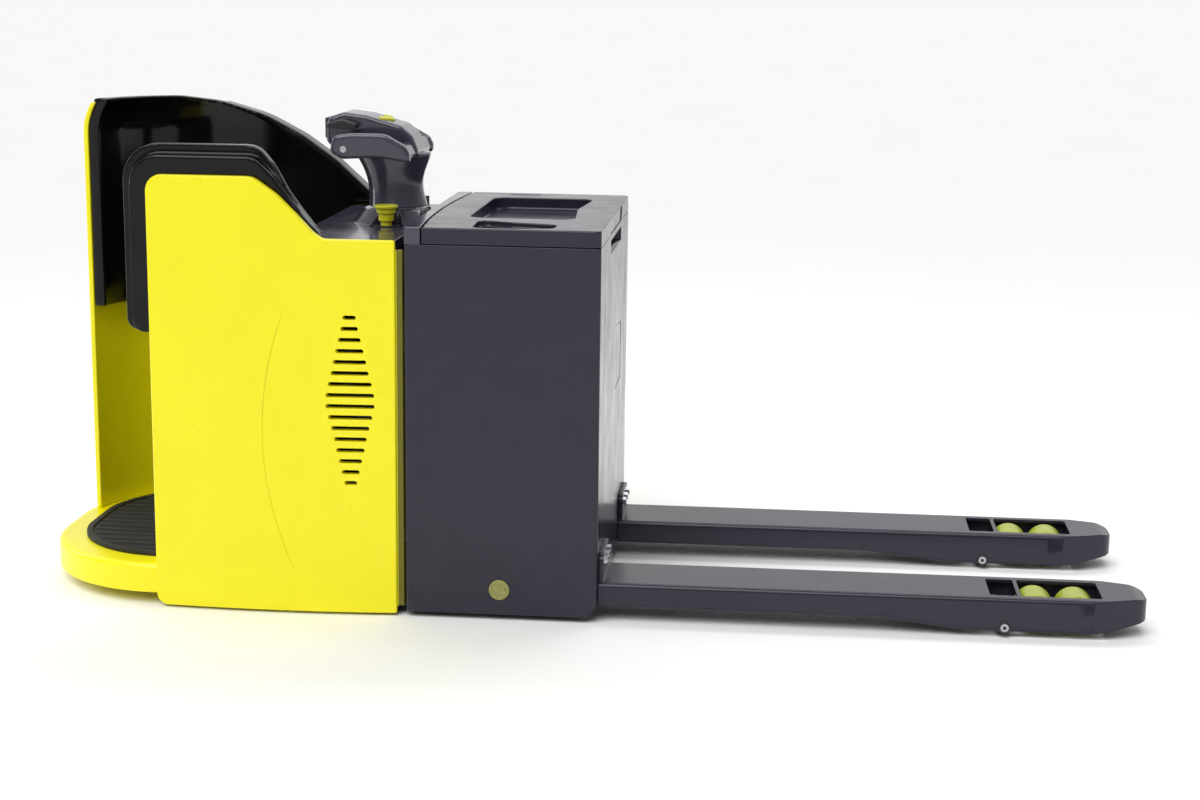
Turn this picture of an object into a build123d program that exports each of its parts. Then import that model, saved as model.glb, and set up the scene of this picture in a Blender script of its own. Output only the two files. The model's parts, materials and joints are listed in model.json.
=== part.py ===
from build123d import *
from math import atan2, cos, degrees, hypot, pi, radians, sin, sqrt, tan
import os

os.makedirs("parts", exist_ok=True)

# ---------------------------------------------------------------- driving sizes (mm)
HEAD_LENGTH = 1252        # rear edge of the platform to the face the forks start from
FORK_LENGTH = 1150
BODY_WIDTH = 720          # across the side panels, before their crown
FORK_SPREAD = 685         # across both forks
FORK_WIDTH = 170
DECK_Z = 85               # lowered fork top
LID_TOP = 833
WALL_TOP = 1055           # top of the tall wrap-round wall
PANEL_TOP = 930           # top of the low side panel
LOAD_WHEEL_D = 82
DRIVE_WHEEL_D = 190
CASTER_D = 110
LIFT = 100                # fork travel
BATTERY_LENGTH = 409      # length of the battery box
BAY_FRONT = 648           # fork face to the bulkhead in front of the operator
SKIN = 12                 # side panel thickness
CROWN = 12                # outward bulge of a side panel
FLOOR_GAP = 15            # battery box above the floor
PANEL_GAP = 6             # side panels above the floor
CLEAR = 0.05              # radial clearance of a running fit

# ---------------------------------------------------------------- derived stations
X_FACE = (HEAD_LENGTH - FORK_LENGTH) / 2
X_REAR = X_FACE - HEAD_LENGTH
X_TIP = X_FACE + FORK_LENGTH
HW = BODY_WIDTH / 2
FORK_Y = (FORK_SPREAD - FORK_WIDTH) / 2
GROW = BATTERY_LENGTH - 409       # how much longer the box is than the standard one
BAY_SCALE = (HEAD_LENGTH - BAY_FRONT - GROW) / (1252 - BAY_FRONT)
BOX_TOP = LID_TOP - 36
CONSOLE_TOP = LID_TOP - 30
X_BOX_REAR = X_FACE - BATTERY_LENGTH


def st(back):
    """X of a station behind the fork face; machine room follows the box, operator's bay stretches."""
    if back <= 395:
        return X_FACE - back
    if back <= BAY_FRONT:
        return X_FACE - back - GROW
    return X_FACE - BAY_FRONT - GROW - (back - BAY_FRONT) * BAY_SCALE


def box_st(back):
    """X of a station near the rear of the battery box, which moves with its length."""
    return X_FACE - back - GROW


def ahead(d):
    """X of a station on the forks, given as a distance back from the tip."""
    return X_TIP - d


# ---------------------------------------------------------------- helpers
def block(x0, x1, y0, y1, z0, z1):
    size = (abs(x1 - x0), abs(y1 - y0), abs(z1 - z0))
    return Pos((x0 + x1) / 2, (y0 + y1) / 2, (z0 + z1) / 2) * Box(*size)


def rod(p, q, r):
    """Cylinder of radius r from point p to point q."""
    a, b = Vector(*p), Vector(*q)
    plane = Plane(origin=a, z_dir=(b - a).normalized())
    return plane * Cylinder(r, (b - a).length, align=(Align.CENTER, Align.CENTER, Align.MIN))


def face_of(corners, put):
    """Closed face through (a, b, radius) corners with tangent arcs; put(a, b) gives the 3-D point."""
    n = len(corners)
    starts, mids, ends = [], [], []
    for i in range(n):
        ax, ay, r = corners[i]
        px, py = corners[i - 1][:2]
        qx, qy = corners[(i + 1) % n][:2]
        l1, l2 = hypot(px - ax, py - ay), hypot(qx - ax, qy - ay)
        u1 = ((px - ax) / l1, (py - ay) / l1)
        u2 = ((qx - ax) / l2, (qy - ay) / l2)
        dot = max(-1.0, min(1.0, u1[0] * u2[0] + u1[1] * u2[1]))
        half = 0.5 * atan2(sqrt(1 - dot * dot), dot)
        if r <= 0 or half > radians(89.5):
            starts.append((ax, ay))
            mids.append(None)
            ends.append((ax, ay))
            continue
        t = min(r / tan(half), 0.499 * l1, 0.499 * l2)
        rr = t * tan(half)
        bis = (u1[0] + u2[0], u1[1] + u2[1])
        bl = hypot(*bis)
        depth = rr / sin(half) - rr
        starts.append((ax + u1[0] * t, ay + u1[1] * t))
        mids.append((ax + bis[0] / bl * depth, ay + bis[1] / bl * depth))
        ends.append((ax + u2[0] * t, ay + u2[1] * t))
    edges = []
    for i in range(n):
        if mids[i]:
            edges.append(Edge.make_three_point_arc(put(*starts[i]), put(*mids[i]), put(*ends[i])))
        j = (i + 1) % n
        if hypot(starts[j][0] - ends[i][0], starts[j][1] - ends[i][1]) > 1e-6:
            edges.append(Edge.make_line(put(*ends[i]), put(*starts[j])))
    return Face(Wire(edges))


def prism_y(corners, y0, y1):
    """Profile in X and Z, carried from y0 to y1."""
    y0, y1 = min(y0, y1), max(y0, y1)
    return extrude(face_of(corners, lambda a, b: (a, y0, b)), amount=y1 - y0, dir=(0, 1, 0))


def prism_z(corners, z0, z1):
    """Profile in X and Y, carried from z0 to z1."""
    return extrude(face_of(corners, lambda a, b: (a, b, z0)), amount=z1 - z0, dir=(0, 0, 1))


def prism_x(corners, x0, x1):
    """Profile in Y and Z, carried from x0 to x1."""
    return extrude(face_of(corners, lambda a, b: (x0, a, b)), amount=x1 - x0, dir=(1, 0, 0))


def slab(x0, x1, y0, y1, z0, z1, r):
    """Block with its four upright edges rounded."""
    c = [(x0, y0, r), (x1, y0, r), (x1, y1, r), (x0, y1, r)]
    return prism_z(c, z0, z1)


def joined(parts):
    out = parts[0]
    for p in parts[1:]:
        out = out + p
    return out


NODES = {}


def add(name, *parts):
    NODES[name] = list(parts)


# ---------------------------------------------------------------- plan of platform and wall
D_SIDE = HW - SKIN
CORNER_R = min(298, D_SIDE - 53)
WALL_END = 10             # corner angle at which the wrap-round wall stops, short of the way in


def plan_point(inset, angle):
    """Point of the rear left corner, angle from straight back (0) to square across (90)."""
    r = CORNER_R - inset
    a = radians(angle)
    return (X_REAR + CORNER_R - r * cos(a), D_SIDE - CORNER_R + r * sin(a))


def plan_slab(inset, x_front, z0, z1):
    """Whole platform outline as a solid, with straight sides running forward to x_front."""
    b = D_SIDE - inset
    r = CORNER_R - inset
    x = X_REAR + inset
    return prism_z([(x, -b, r), (x, b, r), (x_front, b, 0), (x_front, -b, 0)], z0, z1)


def ribbon(outer, inner, x_front, z0, z1, end=WALL_END):
    """Wall that runs back along the far side and wraps round the rear, between two insets."""
    pa = [Vector(*plan_point(outer, a), z0) for a in (end, 50, 90)]
    pb = [Vector(*plan_point(inner, a), z0) for a in (end, 50, 90)]
    loop = [
        Edge.make_three_point_arc(*pa),
        Edge.make_line(pa[-1], (x_front, pa[-1].Y, z0)),
        Edge.make_line((x_front, pa[-1].Y, z0), (x_front, pb[-1].Y, z0)),
        Edge.make_line((x_front, pb[-1].Y, z0), pb[-1]),
        Edge.make_three_point_arc(*reversed(pb)),
        Edge.make_line(pb[0], pa[0]),
    ]
    return extrude(Face(Wire(loop)), amount=z1 - z0, dir=(0, 0, 1))


# ================================================================ operator end: panels and walls
X_PANEL_FRONT = st(427)
X_PLATE = st(440)         # rear face of the upright plate that carries the lift rails
X_PANEL_REAR = st(949)
Y_SKIN = HW - SKIN


def panel_outline(grow, bottom):
    """Side panel outline in X and Z, grown outward by a margin along its rear and top."""
    g = grow
    return [
        (X_PANEL_FRONT, bottom, 4),
        (X_PANEL_FRONT, CONSOLE_TOP + 1, 6),
        (st(577) - 0.2 * g, CONSOLE_TOP + 1, 26),
        (st(597) - 0.6 * g, 818 + 0.7 * g, 60),
        (st(630) - 0.5 * g, 853 + 0.75 * g, 120),
        (st(672) - 0.3 * g, 895 + 0.95 * g, 120),
        (st(722), PANEL_TOP + g, 46),
        (X_PANEL_REAR - g, PANEL_TOP + g, 36 + 0.7 * g),
        (X_PANEL_REAR - g, bottom, 24),
    ]


crown_r = ((X_PANEL_FRONT - X_PANEL_REAR) ** 2 / 4 + CROWN ** 2) / (2 * CROWN)
crown_x = (X_PANEL_FRONT + X_PANEL_REAR) / 2


def crown_body(side, inset):
    """Upright drum whose surface is the crowned outer face of a side panel."""
    y = side * (HW + CROWN - inset - crown_r)
    return Pos(crown_x, y, 500) * Cylinder(crown_r, 1400)


def louvres(side):
    """Column of sixteen vents that widens to the middle."""
    widths = [27, 36, 47, 58, 69, 79, 91, 101, 102, 92, 80, 68, 59, 48, 37, 26]
    cuts = []
    for i, w in enumerate(widths):
        z = 642 - i * (642 - 290) / 15
        y = side * HW
        s = Plane(origin=(st(522), y, z), x_dir=(1, 0, 0), z_dir=(0, -side, 0)) * SlotOverall(w, 9)
        cuts.append(extrude(s, amount=60, both=True))
    return cuts


def crease(side):
    """Shallow arc pressed into the panel face."""
    x, z = st(5), 393
    ring = rod((x, side * (HW - 30), z), (x, side * (HW + 60), z), 704)
    ring = ring - rod((x, side * (HW - 40), z), (x, side * (HW + 70), z), 696)
    sector = block(st(712), st(640), side * (HW - 30), side * (HW + 60), 105, 640)
    return (ring & sector) - crown_body(side, 0.8)


def front_lip(side):
    """Set-back return on the panel's front edge that closes the gap to the battery box."""
    y = side * Y_SKIN
    return block(X_PLATE + 8 + CLEAR, X_BOX_REAR - 3, y - side * 8, y + side, 20, CONSOLE_TOP - 19)


near = prism_y(panel_outline(0, PANEL_GAP), -Y_SKIN, -(HW + CROWN)) & crown_body(-1, 0)
near = near - crease(-1)
for c in louvres(-1):
    near = near - c

# low guard behind the near panel: a stepped black moulding that frames it, and an inner wall below
GUARD_LOW = 596


def guard_layer(grow, y0, y1, r):
    c = panel_outline(grow, GUARD_LOW)
    c = [(x, z, rr) for x, z, rr in c]
    part = prism_y(c, y0, y1)
    return part - block(X_PANEL_FRONT + 1, st(560), -HW, 0, 0, CONSOLE_TOP + 4)


outer_step = guard_layer(38, -Y_SKIN, -(Y_SKIN - 30), 0)
inner_step = guard_layer(60, -(Y_SKIN - 30), -(Y_SKIN - 60), 0)
bay_block = block(st(BAY_FRONT), X_PANEL_REAR - 80, -HW, 0, 0, 1200)
slope_block = block(st(550), X_PANEL_REAR - 80, -HW, 0, CONSOLE_TOP + 4, 1200)
guard = (outer_step + inner_step) & (bay_block + slope_block)
add("near_guard", guard)

inner = block(st(BAY_FRONT), X_PANEL_REAR - 30, -Y_SKIN, -(Y_SKIN - 60), 91, GUARD_LOW)
inner = fillet(inner.edges().filter_by(Axis.Z).group_by(Axis.X)[0].sort_by(Axis.Y)[-1:], 24)
add("near_panel", near + inner + front_lip(-1))


def far_profile(drop, back):
    """Region kept below the top line of the tall wall; drop lowers the line."""
    d = drop
    return [
        (X_PANEL_FRONT + 5, 0, 0),
        (X_PANEL_FRONT + 5, CONSOLE_TOP + 1 - d, 0),
        (st(572), CONSOLE_TOP + 1 - d, 20),
        (st(627), 852 - d, 120),
        (st(690), 910 - d, 160),
        (st(770), 966 - d, 200),
        (st(860), 1013 - d, 200),
        (st(960), 1043 - d, 200),
        (st(1060), WALL_TOP - d, 200),
        (X_REAR - 20, WALL_TOP - d, 0),
        (X_REAR - 20, 0, 0),
    ]


below_line = prism_y(far_profile(10, 0), -HW, HW + 60)
far_side = prism_y([
    (X_PANEL_FRONT, PANEL_GAP, 4), (X_PANEL_FRONT, WALL_TOP, 0),
    (X_PANEL_REAR, WALL_TOP, 0), (X_PANEL_REAR, PANEL_GAP, 24),
], Y_SKIN, HW + CROWN) & crown_body(1, 0)
far_side = far_side + block(X_REAR + CORNER_R, st(BAY_FRONT), Y_SKIN, D_SIDE - 14, 91, WALL_TOP)
far_side = (far_side & below_line) - crease(1)
for c in louvres(1):
    far_side = far_side - c
WRAP_OUT, WRAP_IN, LINER_IN = 14, 26, 54
far_wrap = ribbon(WRAP_OUT, WRAP_IN, st(BAY_FRONT), 91, WALL_TOP + 20) & below_line
add("far_panel", far_side + front_lip(1))
add("rear_wall", far_wrap)

# black liner on the inside of the tall wall, with a lip over its top
LINER_LOW = 575
liner_line = prism_y(far_profile(0, 0), -HW, HW + 60)
liner_band = ribbon(WRAP_IN, LINER_IN, st(560), LINER_LOW, WALL_TOP + 20) & liner_line
lip = ribbon(WRAP_OUT + 1, WRAP_IN, st(560), LINER_LOW, WALL_TOP + 20)
lip = lip + block(X_REAR + CORNER_R, st(560), D_SIDE - WRAP_IN, HW - 1, LINER_LOW, WALL_TOP + 20)
lip = (lip & liner_line) - below_line
liner = liner_band + lip
liner = liner - block(st(BAY_FRONT), st(500), 0, HW + 20, 0, CONSOLE_TOP + 3)
add("far_liner", liner)

# ================================================================ platform and mat
platform = plan_slab(0, st(BAY_FRONT - 2), 27, 91)
top_edges = platform.faces().sort_by(Axis.Z)[-1].edges().sort_by(Axis.X)[:-1]
platform = fillet(top_edges, 12)
add("platform", platform)

MAT_IN = 60
mat_edge = plan_slab(MAT_IN, st(BAY_FRONT + 20), 91, 101)
mat = mat_edge - block(st(BAY_FRONT + 21), st(400), -HW, HW, 0, 200)
mat_face = mat.faces().sort_by(Axis.Z)[-1]
mat = mat - plan_slab(MAT_IN + 14, st(BAY_FRONT + 34), 97, 120)
bars = []
count = 15
for i in range(count):
    y = (i - (count - 1) / 2) * 36
    b = block(st(1190), st(BAY_FRONT + 40), y - 5, y + 5, 96, 101)
    bars.append(b & plan_slab(MAT_IN + 20, st(BAY_FRONT + 40), 90, 110))
mat = joined([mat] + bars)
add("floor_mat", mat)

# ================================================================ machine room
X_DRIVE = st(535)
X_TILL = st(485)
X_CYL, Y_CYL = st(472), 125   # between the sweep of the drive wheel and that of the left caster
R_CYL, R_RAM = 30, 18
bulk = block(st(BAY_FRONT), st(BAY_FRONT - 6), -(Y_SKIN - 60), D_SIDE - WRAP_IN, 91, CONSOLE_TOP - 18)
bulk = bulk - block(st(BAY_FRONT + 5), st(BAY_FRONT - 10), D_SIDE - LINER_IN - 1, HW, LINER_LOW - 2, 900)
add("bulkhead", bulk)

front_plate = block(X_PLATE, X_PLATE + 8, -(Y_SKIN - 14), Y_SKIN - 14, 40, CONSOLE_TOP - 18)
front_plate = front_plate - block(X_PLATE - 5, X_PLATE + 20, -120, 120, 0, 215)
front_plate = front_plate - block(X_PLATE - 5, X_PLATE + 20, Y_CYL - 44, Y_CYL + 44, 576, 650 + LIFT)

frame_parts = []
for s in (-1, 1):
    plate = block(st(BAY_FRONT - 6), X_PLATE + 8, s * Y_SKIN, s * (Y_SKIN - 8), 40, CONSOLE_TOP - 18)
    plate = plate - block(st(590), st(455), s * HW, s * (Y_SKIN - 30), 300, 670)
    frame_parts.append(plate)

RING_R = 74
deck = block(st(BAY_FRONT - 6), X_PLATE, -(Y_SKIN - 8), Y_SKIN - 8, 262, 274)
deck = deck - rod((X_DRIVE, 0, 250), (X_DRIVE, 0, 290), RING_R + 10)
deck = deck - rod((X_CYL, Y_CYL, 250), (X_CYL, Y_CYL, 290), R_CYL)
CAST_X, CAST_Y = X_DRIVE, HW - 125
posts = []
for s in (-1, 1):
    deck = deck - rod((CAST_X, s * CAST_Y, 250), (CAST_X, s * CAST_Y, 290), 8)
    stand = slab(CAST_X - 34, CAST_X + 34, s * CAST_Y - 34, s * CAST_Y + 34, 148, 262, 6)
    posts.append(stand - rod((CAST_X, s * CAST_Y, 140), (CAST_X, s * CAST_Y, 270), 12))
add("machine_frame", joined([deck] + frame_parts + posts))

# slewing ring: outer race bolted on the deck, inner race carries the drive unit
race = rod((X_DRIVE, 0, 274), (X_DRIVE, 0, 292), RING_R + 18)
race = race - rod((X_DRIVE, 0, 270), (X_DRIVE, 0, 300), RING_R + CLEAR)
bolts = []
for i in range(12):
    a = radians(30 * i + 15)
    p = (X_DRIVE + (RING_R + 9.5) * cos(a), (RING_R + 9.5) * sin(a))
    bolts.append(Pos(*p, 292) * extrude(RegularPolygon(5, 6), amount=5))
add("slew_race", joined([race] + bolts))

# drive unit: inner race, gearbox leg beside the wheel, and the upright traction motor above
R_DW = DRIVE_WHEEL_D / 2
DW_W = 70
inner_race = rod((X_DRIVE, 0, 262), (X_DRIVE, 0, 300), RING_R)
neck = slab(X_DRIVE - 46, X_DRIVE + 46, -46, 82, 206, 262, 14)
leg = slab(X_DRIVE - 40, X_DRIVE + 40, DW_W / 2 + 6, 82, R_DW - 40, 210, 12)
hub_stub = rod((X_DRIVE, 44, R_DW), (X_DRIVE, -10, R_DW), 20)
add("drive_gearbox", joined([inner_race, neck, leg, hub_stub]))
motor = rod((X_DRIVE, 0, 300), (X_DRIVE, 0, 470), 66)
motor = motor + rod((X_DRIVE, 0, 470), (X_DRIVE, 0, 512), 50)
for i in range(18):
    a = radians(20 * i)
    fin = Pos(X_DRIVE, 0, 385) * Rot(0, 0, 20 * i) * Pos(68, 0, 0) * Box(8, 3, 130)
    motor = motor + fin
add("traction_motor", motor)
tyre = rod((X_DRIVE, -DW_W / 2, R_DW), (X_DRIVE, DW_W / 2, R_DW), R_DW)
tyre = fillet(tyre.edges().filter_by(GeomType.CIRCLE), 6)
tyre = tyre - rod((X_DRIVE, -DW_W, R_DW), (X_DRIVE, DW_W, R_DW), R_DW - 22)
rim = rod((X_DRIVE, -DW_W / 2 + 2, R_DW), (X_DRIVE, DW_W / 2 - 2, R_DW), R_DW - 22)
rim = rim - rod((X_DRIVE, -DW_W, R_DW), (X_DRIVE, DW_W, R_DW), 20 + CLEAR)
for i in range(5):
    a = radians(72 * i)
    c = (X_DRIVE + 48 * cos(a), R_DW + 48 * sin(a))
    rim = rim - rod((c[0], -DW_W, c[1]), (c[0], -DW_W / 2 + 14, c[1]), 8)
add("drive_tyre", tyre)
add("drive_rim", rim)

steer_motor = rod((X_DRIVE - 8, 150, 274), (X_DRIVE - 8, 150, 400), 34)
add("steer_motor", steer_motor)

# casters
R_CW = CASTER_D / 2
TRAIL = 30
CW_W = 40
for tag, s in (("right", -1), ("left", 1)):
    y = s * CAST_Y
    stem = rod((CAST_X, y, 132), (CAST_X, y, 240), 12 - CLEAR)
    crown = slab(CAST_X - TRAIL - 22, CAST_X + 26, y - 29, y + 29, 124, 134, 10)
    legs = []
    for t in (-1, 1):
        leg_c = [
            (CAST_X - TRAIL - 16, R_CW - 16, 14), (CAST_X - TRAIL + 16, R_CW - 16, 14),
            (CAST_X + 16, 124, 4), (CAST_X - TRAIL - 20, 124, 4),
        ]
        legs.append(prism_y(leg_c, y + t * 23, y + t * 29))
    axle = rod((CAST_X - TRAIL, y - 31, R_CW), (CAST_X - TRAIL, y + 31, R_CW), 6)
    add("caster_fork_" + tag, joined([stem, crown, axle] + legs))
    w = rod((CAST_X - TRAIL, y - CW_W / 2, R_CW), (CAST_X - TRAIL, y + CW_W / 2, R_CW), R_CW)
    w = fillet(w.edges().filter_by(GeomType.CIRCLE), 5)
    w = w - rod((CAST_X - TRAIL, y - CW_W, R_CW), (CAST_X - TRAIL, y + CW_W, R_CW), 6 + CLEAR)
    add("caster_wheel_" + tag, w)

# lift cylinder on the deck's front edge, hydraulic power pack, controller
cylinder = rod((X_CYL, Y_CYL, 60), (X_CYL, Y_CYL, 560), R_CYL)
cylinder = cylinder - rod((X_CYL, Y_CYL, 80), (X_CYL, Y_CYL, 570), R_RAM + CLEAR)
foot = block(X_CYL - 10, X_PLATE, Y_CYL - R_CYL, Y_CYL + R_CYL, 48, 60)
add("lift_cylinder", cylinder + foot)
tank = slab(st(632), st(470), -(HW - 60), -(HW - 190), 290, 470, 14)
pump = rod((st(551), 125 - HW, 470), (st(551), 125 - HW, 600), 52)
feet = [block(st(600), st(500), y - 8, y + 8, 274, 290) for y in (80 - HW, 170 - HW)]
add("hydraulic_pack", joined([tank, pump] + feet))
Y_CTRL = HW - 210         # inner edge of the controller's plate
plate = block(st(636), st(628), Y_CTRL, Y_CTRL + 170, 430, 700)
plate = plate + block(st(642), st(636), Y_CTRL + 30, Y_CTRL + 140, 460, 670)
fins = []
for i in range(13):
    y = Y_CTRL + 10 + 12 * i
    fins.append(block(st(628), st(606), y, y + 3, 440, 690))
add("controller", joined([plate] + fins))

# guide rails on the front plate for the lifting frame
RAIL_Y = HW - 84
rails = []
for s in (-1, 1):
    rails.append(block(X_PLATE + 8, X_PLATE + 22, s * RAIL_Y - 16, s * RAIL_Y + 16, 60, 770))
add("front_plate", joined([front_plate] + rails))

# ================================================================ console
con = slab(st(BAY_FRONT + 2), X_PANEL_FRONT, -Y_SKIN + 0.5, Y_SKIN - 0.5, CONSOLE_TOP - 18, CONSOLE_TOP, 3)
con = con - block(st(BAY_FRONT + 20), st(590), -HW, -(Y_SKIN - 62), 700, 900)
con = con - block(st(BAY_FRONT + 20), st(590), D_SIDE - LINER_IN - 1, HW, 700, 900)
swell = Pos(X_TILL, 0, CONSOLE_TOP - 1) * Cone(104, 74, 31, align=(Align.CENTER, Align.CENTER, Align.MIN))
swell = swell & block(st(BAY_FRONT), X_PANEL_FRONT, -200, 200, 700, 900)
con = con + swell
con = con - rod((X_TILL, 0, 700), (X_TILL, 0, 900), 40)
ESTOP = (st(493), -105)
dish = Pos(*ESTOP, CONSOLE_TOP - 5) * Cylinder(36, 60, align=(Align.CENTER, Align.CENTER, Align.MIN))
con = con - dish
con = con - rod((*ESTOP, 700), (*ESTOP, 900), 17)
GAUGE = (st(530), 170)
KEY = (st(470), 250)
con = con - block(GAUGE[0] - 30.1, GAUGE[0] + 30.1, GAUGE[1] - 45.1, GAUGE[1] + 45.1, CONSOLE_TOP - 10, 900)
con = con - rod((*KEY, 700), (*KEY, 900), 14)
add("console", con)

collar = rod((X_TILL, 0, CONSOLE_TOP - 20), (X_TILL, 0, LID_TOP + 2), 40)
collar = collar - rod((X_TILL, 0, 700), (X_TILL, 0, 900), 25 + CLEAR)
add("column_bearing", collar)
gauge = slab(GAUGE[0] - 30, GAUGE[0] + 30, GAUGE[1] - 45, GAUGE[1] + 45, CONSOLE_TOP - 10, CONSOLE_TOP + 3, 5)
gauge = gauge - slab(GAUGE[0] - 22, GAUGE[0] + 22, GAUGE[1] - 37, GAUGE[1] + 37, CONSOLE_TOP, 900, 3)
key_base = rod((*KEY, CONSOLE_TOP - 25), (*KEY, CONSOLE_TOP + 5), 14)
key_base = key_base - rod((*KEY, CONSOLE_TOP - 12), (*KEY, 900), 6)
key = rod((*KEY, CONSOLE_TOP - 11.7), (*KEY, CONSOLE_TOP + 5), 6 - CLEAR)
key = key + rod((*KEY, CONSOLE_TOP + 5), (*KEY, CONSOLE_TOP + 8), 4)
key = key + slab(KEY[0] - 11, KEY[0] + 11, KEY[1] - 1.5, KEY[1] + 1.5, CONSOLE_TOP + 7, CONSOLE_TOP + 30, 1)
add("key", key)
estop_base = rod((*ESTOP, CONSOLE_TOP - 5), (*ESTOP, CONSOLE_TOP + 2), 30)
estop_base = estop_base + rod((*ESTOP, CONSOLE_TOP - 40), (*ESTOP, CONSOLE_TOP - 5), 17)
estop_base = estop_base - rod((*ESTOP, CONSOLE_TOP - 30), (*ESTOP, 900), 12 + CLEAR)
add("console_switches", gauge, key_base, estop_base)
estop = rod((*ESTOP, CONSOLE_TOP - 22), (*ESTOP, CONSOLE_TOP + 12), 12)
estop = estop + rod((*ESTOP, CONSOLE_TOP + 12), (*ESTOP, CONSOLE_TOP + 26), 16)
flare = Pos(*ESTOP, CONSOLE_TOP + 26) * Cone(17, 26, 12, align=(Align.CENTER, Align.CENTER, Align.MIN))
cap = fillet(rod((*ESTOP, CONSOLE_TOP + 38), (*ESTOP, CONSOLE_TOP + 46), 26).edges().group_by(Axis.Z)[-1], 4)
add("estop_button", joined([estop, flare, cap]))

# ================================================================ tiller
T0 = LID_TOP + 4


def tx(back):
    """X on the tiller head, as a distance back from the fork face."""
    return X_FACE - back - GROW


shaft = rod((X_TILL, 0, 640), (X_TILL, 0, T0 + 10), 25)
stations = [
    (T0, 486, 66, 64), (T0 + 22, 488, 62, 58), (T0 + 50, 491, 61, 54),
    (T0 + 84, 493, 70, 54), (T0 + 118, 498, 86, 56),
]
rings = []
for z, back, rx, ry in stations:
    rings.append(Pos(tx(back), 0, z) * Ellipse(rx, ry))
column = loft(Sketch() + rings)
add("tiller_column", column + shaft)

head_c = [
    (tx(420), 944, 20), (tx(408), 958, 24), (tx(430), 996, 40), (tx(466), 1016, 40),
    (tx(545), 1038, 60), (tx(596), 1044, 30), (tx(633), 1030, 24), (tx(634), 978, 16), (tx(590), 944, 30),
]
head = prism_y(head_c, -58, 58)
head = fillet(head.edges().filter_by(lambda e: abs(abs(e.center().Y) - 58) < 0.1), 9)
head = head - block(tx(700), tx(624), -34, 34, 985, 1030)
AX_Z, AX_X = 1018, tx(592)
head = head - rod((AX_X, -70, AX_Z), (AX_X, 70, AX_Z), 6 + CLEAR)
add("tiller_head", head)

# thumb paddles, one on each end of a shaft through the head
paddles = rod((AX_X, -66, AX_Z), (AX_X, 66, AX_Z), 6)
for s in (-1, 1):
    wing_c = [(AX_X - 31, AX_Z - 7, 6), (AX_X + 31, AX_Z - 7, 6), (AX_X + 31, AX_Z + 3, 5),
              (AX_X, AX_Z + 12, 16), (AX_X - 31, AX_Z + 3, 5)]
    wing = prism_y(wing_c, s * 60, s * 96)
    paddles = paddles + wing
add("throttle", paddles)

guard_c = [
    (tx(606), 964, 14), (tx(598), 1000, 16), (tx(560), 1006, 60), (tx(490), 1006, 60),
    (tx(424), 980, 26), (tx(410), 962, 14), (tx(413), 944, 8), (tx(503), 955, 160), (tx(580), 950, 30),
]
grips, screws = [], []
for tag, s in (("right", -1), ("left", 1)):
    arm = prism_y(guard_c, s * 138, s * 160)
    arm = fillet(arm.edges().filter_by(lambda e: abs(abs(e.center().Y) - 160) < 0.1), 8)
    bar_c = [(tx(452), 950, 10), (tx(452), 986, 12), (tx(428), 978, 10), (tx(416), 960, 8), (tx(418), 948, 6)]
    bar = prism_y(bar_c, s * 50, s * 140)
    bar = bar - head
    add("hand_guard_" + tag, arm + bar)
    grip = rod((tx(588), s * 56, 978), (tx(588), s * 140, 978), 13)
    grip = (grip - head) - arm
    grips.append(grip)
    screw = rod((tx(574), s * 158, 972), (tx(574), s * 163, 972), 7)
    screw = screw - block(tx(580), tx(568), s * 161.5, s * 170, 971, 973)
    screws.append(screw - arm)
add("grips", *grips)
add("guard_screws", *screws)

belly_y = 33.6
belly = slab(tx(642), tx(624.4), -belly_y, belly_y, 985.4, 1029.6, 7)
BELLY_TRAVEL = 6
head = head - block(tx(640), tx(624 - BELLY_TRAVEL - 1), -34, 34, 985, 1030)
NODES["tiller_head"] = [head]
add("belly_button", belly)

SLOPE = degrees(atan2(1038 - 1016, 545 - 466))


def on_slope(back, y, lift=0):
    """Frame on the sloping head top."""
    z = 1038 - (545 - back) * tan(radians(SLOPE))
    return Pos(tx(back), y, z) * Rot(0, SLOPE, 0) * Pos(0, 0, lift)


button_specs = [("horn_button", 505, 0, 13), ("lift_button", 512, -32, 10), ("lower_button", 512, 32, 10)]
for name, back, y, r in button_specs:
    well = on_slope(back, y, -7) * Cylinder(r + 0.3, 30, align=(Align.CENTER, Align.CENTER, Align.MIN))
    head = head - well
    knob = on_slope(back, y, -3) * Cylinder(r, 7, align=(Align.CENTER, Align.CENTER, Align.MIN))
    knob = fillet(knob.edges().filter_by(GeomType.CIRCLE).sort_by(Axis.Z)[-1:], 2)
    add(name, knob)
NODES["tiller_head"] = [head - column]

# ================================================================ lifting battery box
B0, B1 = X_BOX_REAR, X_FACE
WALL = 6
shell_c = [
    (B0, FLOOR_GAP - 3, 4), (B1 - 22, FLOOR_GAP - 3, 4), (B1, FLOOR_GAP + 22, 8),
    (B1, BOX_TOP, 0), (B0, BOX_TOP, 0),
]
shell = prism_y(shell_c, -HW, HW) & slab(B0, B1, -HW, HW, 0, BOX_TOP, 9)
shell = shell - block(B0 + WALL, B1 - WALL, -HW + WALL, HW - WALL, FLOOR_GAP + 40, 900)
shell = shell - block(B0 + WALL, B1 - 30, -HW + WALL, HW - WALL, 0, FLOOR_GAP + 32)
shell = shell - block(B1 - 24, B1 + 5, -124, 144, 754, 785)
pocket = block(B1 - 24, B1 - WALL, -130, 150, 748, 791)
pocket = pocket - block(B1 - 18, B1 + 5, -124, 144, 754, 785)
shell = shell + pocket
hatch = prism_x([(20, 430, 5), (177, 430, 5), (177, 562, 5), (20, 575, 5)], B1 - 3, B1 + 5)
shell = shell - hatch
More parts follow.
